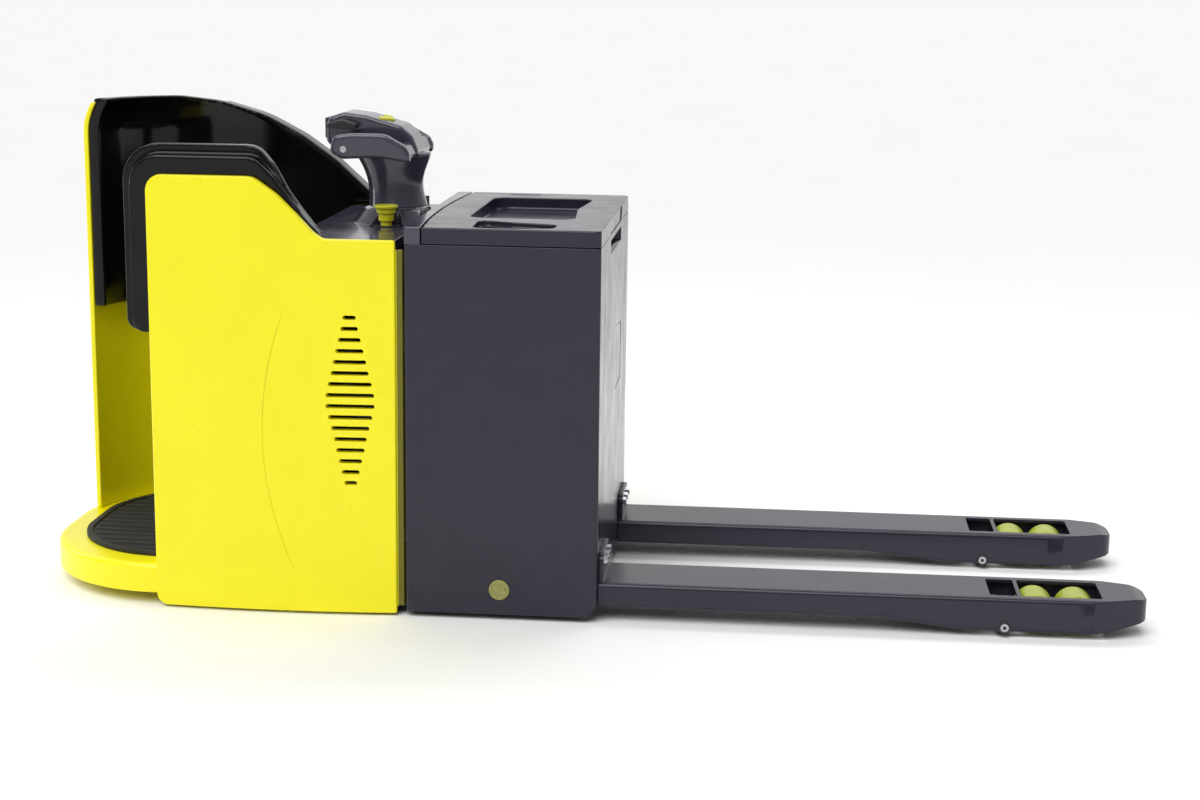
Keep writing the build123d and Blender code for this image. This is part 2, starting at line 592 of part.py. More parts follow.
for s in (-1, 1):
    shell = shell - block(B1 - 2, B1 + 5, s * (HW - 95) - 1.5, s * (HW - 95) + 1.5, 100, BOX_TOP + 5)
    shell = shell - rod((st(208), s * (HW - 3), 67), (st(208), s * (HW + 5), 67), 22.5)
add("battery_box", shell)

trim = []
for tag, s in (("right", -1), ("left", 1)):
    disc = rod((st(208), s * (HW - 3), 67), (st(208), s * (HW + 1), 67), 22)
    for dx in (-14, 14):
        disc = disc - block(st(208) + dx - 2, st(208) + dx + 2, s * (HW - 1), s * (HW + 5), 63, 71)
    trim.append(disc)

hatch_in = prism_x([(22, 432, 4), (175, 432, 4), (175, 560, 4), (22, 573, 4)], B1 - 3, B1 - 0.5)
add("box_trim", hatch_in, *trim)

def arc_rear(x_mid, x_side):
    """Large drum whose surface gives the bowed rear edge of the lid."""
    sag = abs(x_mid - x_side)
    r = (HW ** 2 + sag ** 2) / (2 * sag)
    return Pos(x_mid + r, 0, 800) * Cylinder(r, 400)


lid_drum = arc_rear(box_st(386), box_st(371))
strip = slab(B0, box_st(360), -HW, HW, BOX_TOP, LID_TOP, 8) - arc_rear(box_st(389), box_st(374))
strip = fillet(strip.faces().sort_by(Axis.Z)[-1].edges().filter_by(Axis.Y), 3)
strip = strip & block(B0 - 5, box_st(372), -HW - 5, HW + 5, 0, 900)
add("box_rear_rail", strip)

LID0 = BOX_TOP + 2
lid = slab(box_st(400), X_FACE, -HW, HW, LID0, LID_TOP, 12) & lid_drum
lid = fillet(lid.faces().sort_by(Axis.Z)[-1].edges(), 4)
hollow = slab(box_st(380), X_FACE - 5, -HW + 5, HW - 5, LID0 - 5, LID_TOP - 5, 8)
hollow = hollow & arc_rear(box_st(381), box_st(366))
lid = lid - hollow
TRAY_DEEP = 28
NEAR, FAR = -HW, HW       # edges that the trays keep their distance from
TRAY_0, TRAY_1 = NEAR + 195, FAR - 105
tray_c = [
    (st(305), TRAY_0, 40), (st(75), TRAY_0, 34), (st(90), 45, 400), (st(72), TRAY_1, 30),
    (st(305), TRAY_1, 40),
]
pan_c = [
    (st(309), TRAY_0 - 4, 44), (st(70), TRAY_0 - 4, 38), (st(86), 45, 400), (st(67), TRAY_1 + 4, 34),
    (st(309), TRAY_1 + 4, 44),
]
pan = prism_z(pan_c, LID_TOP - TRAY_DEEP - 4, LID_TOP - 4)
lid = lid + pan
lid = lid - prism_z(tray_c, LID_TOP - TRAY_DEEP, LID_TOP + 10)
pen_c = [
    (st(270), NEAR + 15, 26), (st(275), NEAR + 154, 20), (st(200), NEAR + 124, 60),
    (st(100), NEAR + 98, 20), (st(104), NEAR + 28, 26), (st(180), NEAR + 14, 60),
]
pen_pan = [
    (st(274), NEAR + 11, 30), (st(279), NEAR + 160, 24), (st(200), NEAR + 129, 60),
    (st(95), NEAR + 103, 24), (st(99), NEAR + 24, 30), (st(180), NEAR + 10, 60),
]
lid = lid + prism_z(pen_pan, LID_TOP - 18, LID_TOP - 4)
lid = lid - prism_z(pen_c, LID_TOP - 14, LID_TOP + 10)
lid = lid - slab(st(276), st(206), FAR - 44, FAR - 32, LID_TOP - 4, LID_TOP + 10, 5)
tab_c = [(-146, LID_TOP - 3, 2), (166, LID_TOP - 3, 2), (146, LID0 - 2, 0), (-126, LID0 - 2, 0)]
tab = prism_x(tab_c, X_FACE - 2, X_FACE + 5)
lid = lid - tab
# hinge line along the far edge
HINGE_Y, HINGE_Z = HW + 6, LID0 + 1
HINGE_X = [st(310), st(90)]
fixed_knuckles, lid_knuckles = [], []
for hx in HINGE_X:
    pin = rod((hx - 34, HINGE_Y, HINGE_Z), (hx + 34, HINGE_Y, HINGE_Z), 3)
    for dx in (-24, 24):
        kn = rod((hx + dx - 9.7, HINGE_Y, HINGE_Z), (hx + dx + 9.7, HINGE_Y, HINGE_Z), 6)
        leaf = block(hx + dx - 9.7, hx + dx + 9.7, HW, HINGE_Y, HINGE_Z - 34, HINGE_Z)
        leaf = leaf - rod((hx + dx - 12, HINGE_Y, HINGE_Z), (hx + dx + 12, HINGE_Y, HINGE_Z), 5.5)
        pin = joined([pin, kn, leaf & block(hx - 60, hx + 60, HW, HW + 3, 700, HINGE_Z)])
    fixed_knuckles.append(pin)
    kn = rod((hx - 14, HINGE_Y, HINGE_Z), (hx + 14, HINGE_Y, HINGE_Z), 6)
    leaf = block(hx - 14, hx + 14, HW - 0.5, HW + 3, HINGE_Z, HINGE_Z + 24)
    kn = (kn + leaf) - rod((hx - 15, HINGE_Y, HINGE_Z), (hx + 15, HINGE_Y, HINGE_Z), 3 + CLEAR)
    lid_knuckles.append(kn)
add("lid_hinges", *fixed_knuckles)
lid = joined([lid] + lid_knuckles)
add("lid", lid)

# battery with its cell caps and lifting eyes
bat = slab(B0 + 14, B1 - 32, -HW + 14, HW - 14, FLOOR_GAP + 40, 728, 6)
caps = []
for i in range(3):
    for j in range(8):
        x, y = st(330) + i * 110, (j / 7 - 0.5) * 2 * (HW - 66)
        caps.append(rod((x, y, 728), (x, y, 740), 14))
add("battery", joined([bat] + caps))

# sliding shoes that wrap the guide rails
shoes = []
for s in (-1, 1):
    for z in (150, 560):
        y = s * RAIL_Y
        shoe = block(X_PLATE + 10, B0, y - 28, y + 28, z, z + 70)
        shoes.append(shoe - block(X_PLATE, X_PLATE + 22.5, y - 16.5, y + 16.5, z - 5, z + 80))
add("guide_shoes", *shoes)
bracket = block(X_CYL - 24, B0, Y_CYL - 30, Y_CYL + 30, 600, 618)
bracket = bracket + block(X_PLATE + 10, B0, Y_CYL - 30, Y_CYL + 30, 586, 640)
add("lift_ram", rod((X_CYL, Y_CYL, 220), (X_CYL, Y_CYL, 600), R_RAM))
add("lift_bracket", bracket)

# ================================================================ forks
FORK_WALL = 8
EDGE_R = 10               # rounding of a fork's long top edges
PAD_W = FORK_WIDTH - 2 * EDGE_R - 4
CH = FORK_WIDTH / 2 - FORK_WALL
PIVOT = (ahead(298), 18 + 4)
R_LW = LOAD_WHEEL_D / 2
WHEEL_Z = R_LW
PIN_R = 8.5
ROD_R = 9
ROD_Z = PIVOT[1] + 33
W_REAR = ahead(229)
W_FRONT = ahead(145)
X_BOGIE = (W_REAR + W_FRONT) / 2


def fork(y):
    side_c = [
        (X_FACE, DECK_Z, 0), (X_TIP - 24, DECK_Z, 40), (X_TIP + 4, DECK_Z - 7, 10), (X_TIP + 4, 36, 8),
        (X_TIP - 112, 12, 60), (ahead(390), 12, 120), (ahead(560), 32, 300), (X_FACE, 32, 0),
    ]
    plan_c = [
        (X_FACE, y - FORK_WIDTH / 2, 0), (X_TIP - 100, y - FORK_WIDTH / 2, 380),
        (X_TIP, y - FORK_WIDTH / 2 + 38, 40), (X_TIP, y + FORK_WIDTH / 2 - 38, 40),
        (X_TIP - 100, y + FORK_WIDTH / 2, 380), (X_FACE, y + FORK_WIDTH / 2, 0),
    ]
    body = prism_y(side_c, y - FORK_WIDTH / 2, y + FORK_WIDTH / 2)
    long_edges = body.edges().filter_by(Axis.X).group_by(Axis.Z)[-1]
    body = fillet(long_edges, EDGE_R) & prism_z(plan_c, 0, 120)
    body = body - block(X_FACE - 5, ahead(92), y - CH, y + CH, 0, DECK_Z - FORK_WALL)
    body = body - slab(ahead(328), ahead(272), y - 59, y + 59, 60, 100, 6)
    body = body - slab(ahead(263), ahead(96), y - 59, y + 59, 60, 100, 8)
    body = body - rod((PIVOT[0], y - FORK_WIDTH, PIVOT[1]), (PIVOT[0], y + FORK_WIDTH, PIVOT[1]), PIN_R)
    for gx in (X_FACE + 140, ahead(420)):
        guide = block(gx, gx + 10, y - CH - 1, y + CH + 1, ROD_Z - 18, DECK_Z - FORK_WALL + 1)
        body = body + (guide - rod((gx - 5, y, ROD_Z), (gx + 15, y, ROD_Z), ROD_R + CLEAR))
    return body


bolts_and_pins, push_rods = [], []
for tag, s in (("right", -1), ("left", 1)):
    y = s * FORK_Y
    # upright plate where the fork meets the box
    pad_plate = block(X_FACE, X_FACE + 10, y - PAD_W / 2, y + PAD_W / 2, DECK_Z - 1, DECK_Z + 60)
    pad_plate = fillet(pad_plate.edges().filter_by(Axis.X).group_by(Axis.Z)[-1], 20)
    add("fork_" + tag, fork(y) + pad_plate)
    for dy in (-48, 0, 48):
        seat = Pos(X_FACE + 10, y + dy, DECK_Z + 40) * Rot(0, 90, 0)
        bolts_and_pins.append(seat * extrude(RegularPolygon(9, 6), amount=7))

    # lever pin through both fork sides
    pin = rod((PIVOT[0], y - FORK_WIDTH / 2 - 2, PIVOT[1]), (PIVOT[0], y + FORK_WIDTH / 2 + 2, PIVOT[1]), PIN_R)
    bolts_and_pins.append(pin)

    # load arm: cross tube, two side bars and an upright ear for the push rod
    ARM_IN, ARM_OUT = 50, 57
    tube = rod((PIVOT[0], y - 70, PIVOT[1]), (PIVOT[0], y + 70, PIVOT[1]), 14)
    bars = []
    for t in (-1, 1):
        dx, dz = X_BOGIE - PIVOT[0], WHEEL_Z - PIVOT[1]
        ln = hypot(dx, dz)
        nx, nz = -dz / ln * 11, dx / ln * 11
        ux, uz = dx / ln * 12, dz / ln * 12
        c = [
            (PIVOT[0] - ux + nx, PIVOT[1] - uz + nz, 10), (PIVOT[0] - ux - nx, PIVOT[1] - uz - nz, 10),
            (X_BOGIE + ux - nx, WHEEL_Z + uz - nz, 10), (X_BOGIE + ux + nx, WHEEL_Z + uz + nz, 10),
        ]
        bars.append(prism_y(c, y + t * ARM_IN, y + t * ARM_OUT))
    ear_c = [
        (PIVOT[0] - 12, PIVOT[1], 4), (PIVOT[0] + 12, PIVOT[1], 4),
        (PIVOT[0] + 8, PIVOT[1] + 42, 7), (PIVOT[0] - 8, PIVOT[1] + 42, 7),
    ]
    ear = prism_y(ear_c, y - 8, y + 8)
    arm = joined([tube, ear] + bars)
    arm = arm - rod((PIVOT[0], y - 80, PIVOT[1]), (PIVOT[0], y + 80, PIVOT[1]), PIN_R + CLEAR)
    for t in (-1, 1):
        arm = arm - rod((X_BOGIE, y + t * 49, WHEEL_Z), (X_BOGIE, y + t * 60, WHEEL_Z), 7 + CLEAR)
    add("load_arm_" + tag, arm)

    # bogie: two side plates, cross pin, two wheel axles
    LW = 80
    plates = []
    for t in (-1, 1):
        c = [
            (W_REAR - 12, WHEEL_Z - 13, 12), (W_FRONT + 12, WHEEL_Z - 13, 12),
            (W_FRONT + 12, WHEEL_Z + 13, 12), (W_REAR - 12, WHEEL_Z + 13, 12),
        ]
        plates.append(prism_y(c, y + t * 43, y + t * 49))
        plates.append(rod((X_BOGIE, y + t * 49, WHEEL_Z), (X_BOGIE, y + t * 57, WHEEL_Z), 7))
    ax = [rod((wx, y - 49, WHEEL_Z), (wx, y + 49, WHEEL_Z), 8) for wx in (W_REAR, W_FRONT)]
    add("bogie_" + tag, joined(plates + ax))
    for pos, wx in (("rear", W_REAR), ("front", W_FRONT)):
        w = rod((wx, y - LW / 2, WHEEL_Z), (wx, y + LW / 2, WHEEL_Z), R_LW)
        w = fillet(w.edges().filter_by(GeomType.CIRCLE), 5)
        w = w - rod((wx, y - LW, WHEEL_Z), (wx, y + LW, WHEEL_Z), 8 + CLEAR)
        add("load_wheel_" + tag + "_" + pos, w)

    # push rod under the deck, from the box to the lever ear
    pr = rod((X_FACE + 30, y, ROD_Z), (PIVOT[0] - 48, y, ROD_Z), ROD_R)
    clevis = block(PIVOT[0] - 48, PIVOT[0] - 12, y - 16, y + 16, ROD_Z - 8, ROD_Z + 9)
    clevis = clevis - block(PIVOT[0] - 30, PIVOT[0], y - 9, y + 9, 0, 100)
    push_rods.append(pr + clevis)
add("fork_pins", *bolts_and_pins)
add("push_rods", *push_rods)

for name, parts in NODES.items():
    shape = Compound(children=list(parts)) if len(parts) > 1 else parts[0]
    export_step(shape, os.path.join("parts", name + ".step"))
    print(name, len(shape.solids()), round(shape.volume / 1000, 1))
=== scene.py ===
"""Electric pallet truck: finished pieces, materials and stage around the fixed mechanical frame."""
import json
from math import cos, pi, radians, sin

import bmesh
import bpy
from bpy.props import FloatProperty, FloatVectorProperty, IntProperty, PointerProperty
from mathutils import Matrix, Vector


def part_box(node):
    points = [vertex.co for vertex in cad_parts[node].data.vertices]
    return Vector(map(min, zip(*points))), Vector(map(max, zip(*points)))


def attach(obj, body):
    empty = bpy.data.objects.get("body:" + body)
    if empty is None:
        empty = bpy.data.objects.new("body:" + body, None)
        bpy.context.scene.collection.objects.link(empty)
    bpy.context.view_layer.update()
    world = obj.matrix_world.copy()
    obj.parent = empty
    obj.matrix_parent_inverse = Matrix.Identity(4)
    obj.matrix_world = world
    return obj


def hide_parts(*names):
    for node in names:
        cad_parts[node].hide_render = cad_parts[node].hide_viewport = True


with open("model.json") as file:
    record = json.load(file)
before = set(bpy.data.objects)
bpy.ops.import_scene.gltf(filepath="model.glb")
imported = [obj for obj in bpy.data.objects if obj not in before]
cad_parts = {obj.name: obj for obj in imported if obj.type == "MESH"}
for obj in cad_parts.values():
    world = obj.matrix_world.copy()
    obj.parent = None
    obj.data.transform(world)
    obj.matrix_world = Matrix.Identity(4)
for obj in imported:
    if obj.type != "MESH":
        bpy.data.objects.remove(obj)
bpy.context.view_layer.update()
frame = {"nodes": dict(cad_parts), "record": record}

bl_info = {
    "name": "Electric pallet truck",
    "version": (1, 0, 0),
    "blender": (4, 5, 0),
    "location": "View3D > Sidebar > Truck",
    "description": "Builds the visible pieces, finishes and stage of a ride-on pallet truck",
    "category": "Object",
}

MM = 0.001
MM_PER_METRE = 1000
NODES = frame["nodes"]
BODY_OF = {n: b for b, ns in frame["record"]["behaviour"]["bodies"].items() for n in ns}
SLOT_OF = {s["node"]: s["material_slot"] for s in frame["record"]["subparts"]}


def srgb(hex_text):
    """sRGB hex to linear RGBA."""
    out = []
    for i in (1, 3, 5):
        v = int(hex_text[i:i + 2], 16) / 255
        out.append(v / 12.92 if v <= 0.04045 else ((v + 0.055) / 1.055) ** 2.4)
    return (*out, 1.0)


# ------------------------------------------------------------------ settings
class TruckFinish(bpy.types.PropertyGroup):
    """Colours of the moulded and painted surfaces."""
    shell: FloatVectorProperty(name="Shell", description="Glossy moulded body panels",
                               subtype="COLOR", size=4, min=0, max=1, default=srgb("#F4EA08"))
    liner: FloatVectorProperty(name="Liner", description="Glossy black guard mouldings",
                               subtype="COLOR", size=4, min=0, max=1, default=srgb("#080809"))
    paint: FloatVectorProperty(name="Paint", description="Powder coat of box and forks",
                               subtype="COLOR", size=4, min=0, max=1, default=srgb("#272332"))
    roller: FloatVectorProperty(name="Roller", description="Cast polyurethane of the load wheels",
                                subtype="COLOR", size=4, min=0, max=1, default=srgb("#A6B032"))
    control: FloatVectorProperty(name="Control", description="Plastic of the stop and thumb buttons",
                                 subtype="COLOR", size=4, min=0, max=1, default=srgb("#C9C617"))


class TruckSizes(bpy.types.PropertyGroup):
    """Sizes of the softened edges and turned details."""
    panel_edge: FloatProperty(name="Panel edge", description="Rounding of the body panels",
                              subtype="DISTANCE", unit="LENGTH", default=3.5 * MM, min=0)
    steel_edge: FloatProperty(name="Steel edge", description="Rounding of folded and welded steel",
                              subtype="DISTANCE", unit="LENGTH", default=2 * MM, min=0)
    turns: IntProperty(name="Turned steps", description="Facets round a turned piece",
                       default=64, min=12)


def finish():
    return bpy.context.scene.truck_finish


def sizes():
    return bpy.context.scene.truck_sizes


# ------------------------------------------------------------------ materials
def add(tree, kind, values=(), **links):
    """Adds a node: settings and socket values by name, links from other sockets."""
    n = tree.nodes.new(kind)
    for key, value in dict(values).items():
        if key in n.inputs:
            n.inputs[key].default_value = value
        else:
            setattr(n, key, value)
    for key, source in links.items():
        tree.links.new(source, n.inputs[key.replace("_", " ")])
    return n


MATERIALS = {}


def surface(name, colour, rough, metal=0.0, ior=1.5, coat=0.0, mottle=(160, 0.06),
            grain=(2.0, 0.02), rough_swing=0.06, stretch=(1, 1, 1), sss=0.0):
    """Shader with two shades of its colour, a fine surface relief and an uneven polish.

    mottle is (patch size in mm, strength); grain is (relief size in mm, relief height in mm).
    rough_swing is how far the roughness goes either way, and stretch squeezes the pattern.
    """
    if name in MATERIALS:
        return MATERIALS[name]
    mat = bpy.data.materials.new(name)
    mat.use_nodes = True
    t = mat.node_tree
    t.nodes.clear()
    where = add(t, "ShaderNodeTexCoord").outputs["Object"]
    place = add(t, "ShaderNodeMapping", {"Scale": stretch}, Vector=where).outputs["Vector"]
    patch = add(t, "ShaderNodeTexNoise", {
        "Scale": MM_PER_METRE / mottle[0], "Detail": 4.0, "Roughness": 0.55,
    }, Vector=place)
    fine = add(t, "ShaderNodeTexNoise", {
        "Scale": MM_PER_METRE / grain[0], "Detail": 3.0, "Roughness": 0.5,
    }, Vector=place)
    dark = tuple(c * (1 - mottle[1]) for c in colour[:3]) + (1,)
    pale = tuple(min(1, c * (1 + mottle[1]) + 0.002) for c in colour[:3]) + (1,)
    ramp = add(t, "ShaderNodeValToRGB", Fac=patch.outputs["Fac"])
    ramp.color_ramp.elements[0].position = 0.35
    ramp.color_ramp.elements[0].color = dark
    ramp.color_ramp.elements[1].position = 0.65
    ramp.color_ramp.elements[1].color = pale
    polish = add(t, "ShaderNodeMapRange", {
        "From Min": 0.3, "From Max": 0.7,
        "To Min": max(0.02, rough - rough_swing), "To Max": rough + rough_swing,
    }, Value=patch.outputs["Fac"])
    relief = add(t, "ShaderNodeBump", {"Strength": 0.6, "Distance": grain[1] * MM},
                 Height=fine.outputs["Fac"])
    shader = add(t, "ShaderNodeBsdfPrincipled", {"Metallic": metal},
                 Base_Color=ramp.outputs["Color"], Roughness=polish.outputs["Result"],
                 Normal=relief.outputs["Normal"])
    if metal < 0.5:
        shader.inputs["IOR"].default_value = ior
    if coat:
        shader.inputs["Coat Weight"].default_value = coat
        shader.inputs["Coat Roughness"].default_value = 0.05
    if sss:
        shader.inputs["Subsurface Weight"].default_value = sss
        shader.inputs["Subsurface Radius"].default_value = (0.004, 0.004, 0.001)
    add(t, "ShaderNodeOutputMaterial", Surface=shader.outputs["BSDF"])
    MATERIALS[name] = mat
    return mat


def abs_yellow():
    # injection-moulded ABS, high gloss: even colour with a faint orange peel in its reflections
    return surface("abs_gloss_yellow", finish().shell, 0.26, ior=1.5, mottle=(260, 0.02),
                   grain=(5.0, 0.02), rough_swing=0.05)


def painted_shade_flange_yellow():
    # unpolished return flange of the same yellow ABS, deep in the gap: its flat olive-yellow is painted
    # shade of the recess, not a colour of its own
    return surface("abs_flange_olive", srgb("#6E6A0A"), 0.5, ior=1.5, mottle=(60, 0.05),
                   grain=(1.2, 0.04))


def abs_black():
    # injection-moulded ABS, polished black: sharp soft-box reflections, slight waviness
    return surface("abs_gloss_black", finish().liner, 0.12, ior=1.34, mottle=(120, 0.15),
                   grain=(7.0, 0.03), rough_swing=0.04)


def powder_grey():
    # gloss powder coat on sheet steel: dark violet-grey with a fine orange peel
    return surface("powder_coat_violet_grey", finish().paint, 0.2, ior=1.42, mottle=(90, 0.05),
                   grain=(3.0, 0.03), rough_swing=0.05)


def moulded_grey():
    # moulded polyurethane cover: a paler grey than the paint, lacquered over a fine grain
    return surface("moulded_cover_grey", srgb("#3C3847"), 0.18, ior=1.5, coat=0.3, mottle=(70, 0.06),
                   grain=(1.6, 0.03), rough_swing=0.05)


def frame_black():
    # satin stoving enamel on welded steel: slightly dusty black
    return surface("stoving_enamel_black", srgb("#27272B"), 0.45, ior=1.5, mottle=(45, 0.12),
                   grain=(1.5, 0.06))


def motor_enamel():
    # air-dried enamel on a motor housing: dark with soft sheen
    return surface("motor_enamel_dark", srgb("#1F2226"), 0.38, ior=1.5, mottle=(60, 0.1),
                   grain=(1.0, 0.05))


def cast_alloy():
    # gravity-cast aluminium: pale, blotched, fine sand texture
    return surface("cast_aluminium", srgb("#A6A8AB"), 0.42, metal=1.0, mottle=(18, 0.08),
                   grain=(0.9, 0.12))


def cast_iron():
    # grey cast iron under a thin primer: dark grey with a sandy skin
    return surface("cast_iron_primed", srgb("#57585B"), 0.58, ior=1.5, mottle=(25, 0.1),
                   grain=(1.1, 0.2))


def bright_steel():
    # turned steel: fine lay along one axis, oily sheen
    return surface("turned_steel", srgb("#B9BBBF"), 0.27, metal=1.0, mottle=(20, 0.06),
                   grain=(0.8, 0.02), stretch=(1, 0.2, 1))


def chrome():
    # hard chrome on a ground ram: near mirror
    return surface("hard_chrome", srgb("#DADCE0"), 0.08, metal=1.0, mottle=(30, 0.03),
                   grain=(3.0, 0.005), rough_swing=0.02)


def roller_pu():
    # cast polyurethane, 93 Shore A: yellow-green, waxy, slightly translucent
    return surface("cast_polyurethane_green", finish().roller, 0.3, ior=1.49, mottle=(30, 0.06),
                   grain=(1.4, 0.04), sss=0.12)


def tread_pu():
    # cast polyurethane drive tread: dark olive, worn matt where it rolls
    return surface("cast_polyurethane_dark", srgb("#3B3A2C"), 0.55, ior=1.49, mottle=(22, 0.12),
                   grain=(1.2, 0.1))


def caster_rubber():
    # elastic solid rubber tyre: grey-black, dusty
    return surface("solid_rubber_grey", srgb("#2B2B2D"), 0.7, ior=1.52, mottle=(20, 0.12),
                   grain=(0.8, 0.1))


def mat_rubber():
    # pressed nitrile rubber mat: matt black, fine pebble, scuffed paler in patches
    return surface("pressed_rubber_black", srgb("#19191B"), 0.62, ior=1.52, mottle=(55, 0.22),
                   grain=(1.0, 0.15))


def grip_rubber():
    # soft-touch grip rubber: deep black, matt
    return surface("grip_rubber_black", srgb("#161618"), 0.55, ior=1.52, mottle=(25, 0.12),
                   grain=(0.7, 0.08))


def control_plastic():
    # moulded acetal control: yellow-green, satin
    return surface("moulded_acetal_green", finish().control, 0.34, ior=1.48, mottle=(20, 0.04),
                   grain=(0.9, 0.03))


def switch_plastic():
    # moulded nylon switch body: black, satin
    return surface("moulded_nylon_black", srgb("#1C1C20"), 0.36, ior=1.53, mottle=(20, 0.08),
                   grain=(0.8, 0.05))


def slide_nylon():
    # machined cast nylon: off-white, waxy
    return surface("cast_nylon_white", srgb("#DAD6C6"), 0.42, ior=1.53, mottle=(20, 0.04),
                   grain=(0.9, 0.05), sss=0.1)


def battery_case():
    # polypropylene battery case: dull blue-black with swirl marks
    return surface("polypropylene_case", srgb("#25282E"), 0.5, ior=1.49, mottle=(60, 0.1),
                   grain=(1.2, 0.08))


def olive_zinc():
    # olive-passivated zinc plating: greenish brass tone with cloudy patches
    return surface("olive_passivated_zinc", srgb("#98975C"), 0.38, metal=0.6, mottle=(9, 0.12),
                   grain=(0.8, 0.03))


def display_glass():
    # smoked polycarbonate window over a display: black and mirror smooth
    return surface("smoked_polycarbonate", srgb("#0B0D10"), 0.06, ior=1.58, mottle=(30, 0.05),
                   grain=(4.0, 0.002), rough_swing=0.02)


SLOT_FINISH = {
    "yellow_shell": abs_yellow, "black_gloss": abs_black,
    "grey_paint": powder_grey, "grey_cover": moulded_grey,
    "frame_paint": frame_black, "motor_black": motor_enamel,
    "cast_alloy": cast_alloy, "cast_iron_grey": cast_iron,
    "steel_bright": bright_steel, "chrome_rod": chrome,
    "tyre_pu_dark": tread_pu, "caster_rubber": caster_rubber, "wheel_pu": roller_pu,
    "control_green": control_plastic, "switch_black": switch_plastic,
    "battery_case": battery_case, "brass_disc": olive_zinc,
    "slide_pad": slide_nylon, "black_rubber": mat_rubber,
}


def dress(obj, mat):
    """Gives an object one material."""
    obj.data.materials.clear()
    obj.data.materials.append(mat)


# ------------------------------------------------------------------ modelling helpers
FORK_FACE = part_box("battery_box")[1].x


def station(back):
    """X in metres of a station a distance back (mm) from the face the forks start from."""
    return FORK_FACE - back * MM


# places on the body panels, in metres
PANEL_FRONT = station(427)
SKIN = 0.35                                     # the outer skins lie further out than this
VENTS_X, VENTS_Z = (station(600), station(450)), (0.2, 0.7)
CREASE_X, CREASE_Z = station(5), 0.393          # centre of the pressed arc
CREASE_BAND, CREASE_OUTER = (0.69, 0.71), 0.702
CREASE_FRONT = station(630)
# places on the battery box and tiller
RECESS_HALF, RECESS_Z = 0.3, (0.4, 0.795)       # finger slot and hatch in the fork end
LID_FRONT, TRAY_REAR = station(20), station(330)
GRIP_X, GRIP_Z = station(588), 0.978
GAUGE_X, GAUGE_Y = station(530), 0.170


def crease_radius(p):
    """Distance of a point from the centre of the pressed arc, seen from the side."""
    return Vector((p.x - CREASE_X, p.z - CREASE_Z)).length


def on_crease(p):
    return CREASE_BAND[0] < crease_radius(p) < CREASE_BAND[1] and p.x < CREASE_FRONT


def bake(bm, name, body, mat, replaces=(), smooth=35, weighted=True):
    """Turns a bmesh into a finished piece that rides on a body."""
    mesh = bpy.data.meshes.new(name)
    bm.normal_update()
    bm.to_mesh(mesh)
    bm.free()
    for poly in mesh.polygons:
        poly.use_smooth = True
    mesh.set_sharp_from_angle(angle=radians(smooth))
    obj = bpy.data.objects.new(name, mesh)
    bpy.context.scene.collection.objects.link(obj)
    dress(obj, mat)
    if weighted:
        mod = obj.modifiers.new("even_normals", "WEIGHTED_NORMAL")
        mod.keep_sharp = True
    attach(obj, body)
    if replaces:
        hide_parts(*replaces)
    return obj


def merged_copy(node):
    """bmesh of a mechanical node with its loose triangles joined and flat areas cleaned."""
    bm = bmesh.new()
    bm.from_mesh(NODES[node].data)
    bmesh.ops.remove_doubles(bm, verts=bm.verts, dist=2e-5)
    bmesh.ops.dissolve_limit(bm, angle_limit=radians(0.5), verts=bm.verts, edges=bm.edges)
    return bm


def soften(bm, width, segments=3, angle=30, where=None):
    """Rounds the edges sharper than an angle, where a test on the edge's middle allows it."""
    sharp = []
    for e in bm.edges:
        if len(e.link_faces) == 2 and e.calc_face_angle(0) > radians(angle):
            middle = (e.verts[0].co + e.verts[1].co) / 2
            if where is None or where(middle, e):
                sharp.append(e)
    bmesh.ops.bevel(bm, geom=sharp, offset=width, offset_type="OFFSET", affect="EDGES",
                    segments=segments, profile=0.5, material=-1, clamp_overlap=False, loop_slide=True)


def rounded_copy(node, width, segments, name, where=None, angle=50):
    """Piece that stands for a node, with its edges rounded."""
    bm = merged_copy(node)
    soften(bm, width, segments, angle, where)
    slot = SLOT_OF[node]
    return bake(bm, name, BODY_OF[node], SLOT_FINISH[slot](), (node,))


def moulded_copy(node, voxel, rounds, name, reshape=None):
    """Piece that stands for a node, with every edge rounded evenly as a soft tool leaves it."""
    bm = merged_copy(node)
    if reshape:
        for v in bm.verts:
            v.co = reshape(v.co)
    slot = SLOT_OF[node]
    obj = bake(bm, name, BODY_OF[node], SLOT_FINISH[slot](), (node,), 60, False)
    skin = obj.modifiers.new("even_skin", "REMESH")
    skin.mode = "VOXEL"
    skin.voxel_size = voxel
    skin.use_smooth_shade = True
    ease = obj.modifiers.new("eased_edges", "SMOOTH")
    ease.factor = 0.5
    ease.iterations = rounds
    view = bpy.context.evaluated_depsgraph_get()
    solid = bpy.data.meshes.new_from_object(obj.evaluated_get(view))
    obj.modifiers.clear()
    obj.data = solid
    dress(obj, SLOT_FINISH[slot]())
    return obj


WALL_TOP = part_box("far_liner")[1].z
ROLL_X, ROLL_Y = station(990), 0.04             # the roll leans towards this upright line
ROLL_DEPTH, ROLL_SHIFT = 0.08, 0.03


def rolled_in(p):
    """Leans the top edge of the wrap-round wall inwards, as the moulding rolls over."""
    t = min(1, max(0, (p.z - WALL_TOP + ROLL_DEPTH) / ROLL_DEPTH))
    shift = ROLL_SHIFT * t * t
    inward = Vector((max(0, ROLL_X - p.x), ROLL_Y - p.y))
    if shift == 0 or inward.length == 0:
        return p.copy()
    inward.normalize()
    return Vector((p.x + shift * inward.x, p.y + shift * inward.y, p.z))


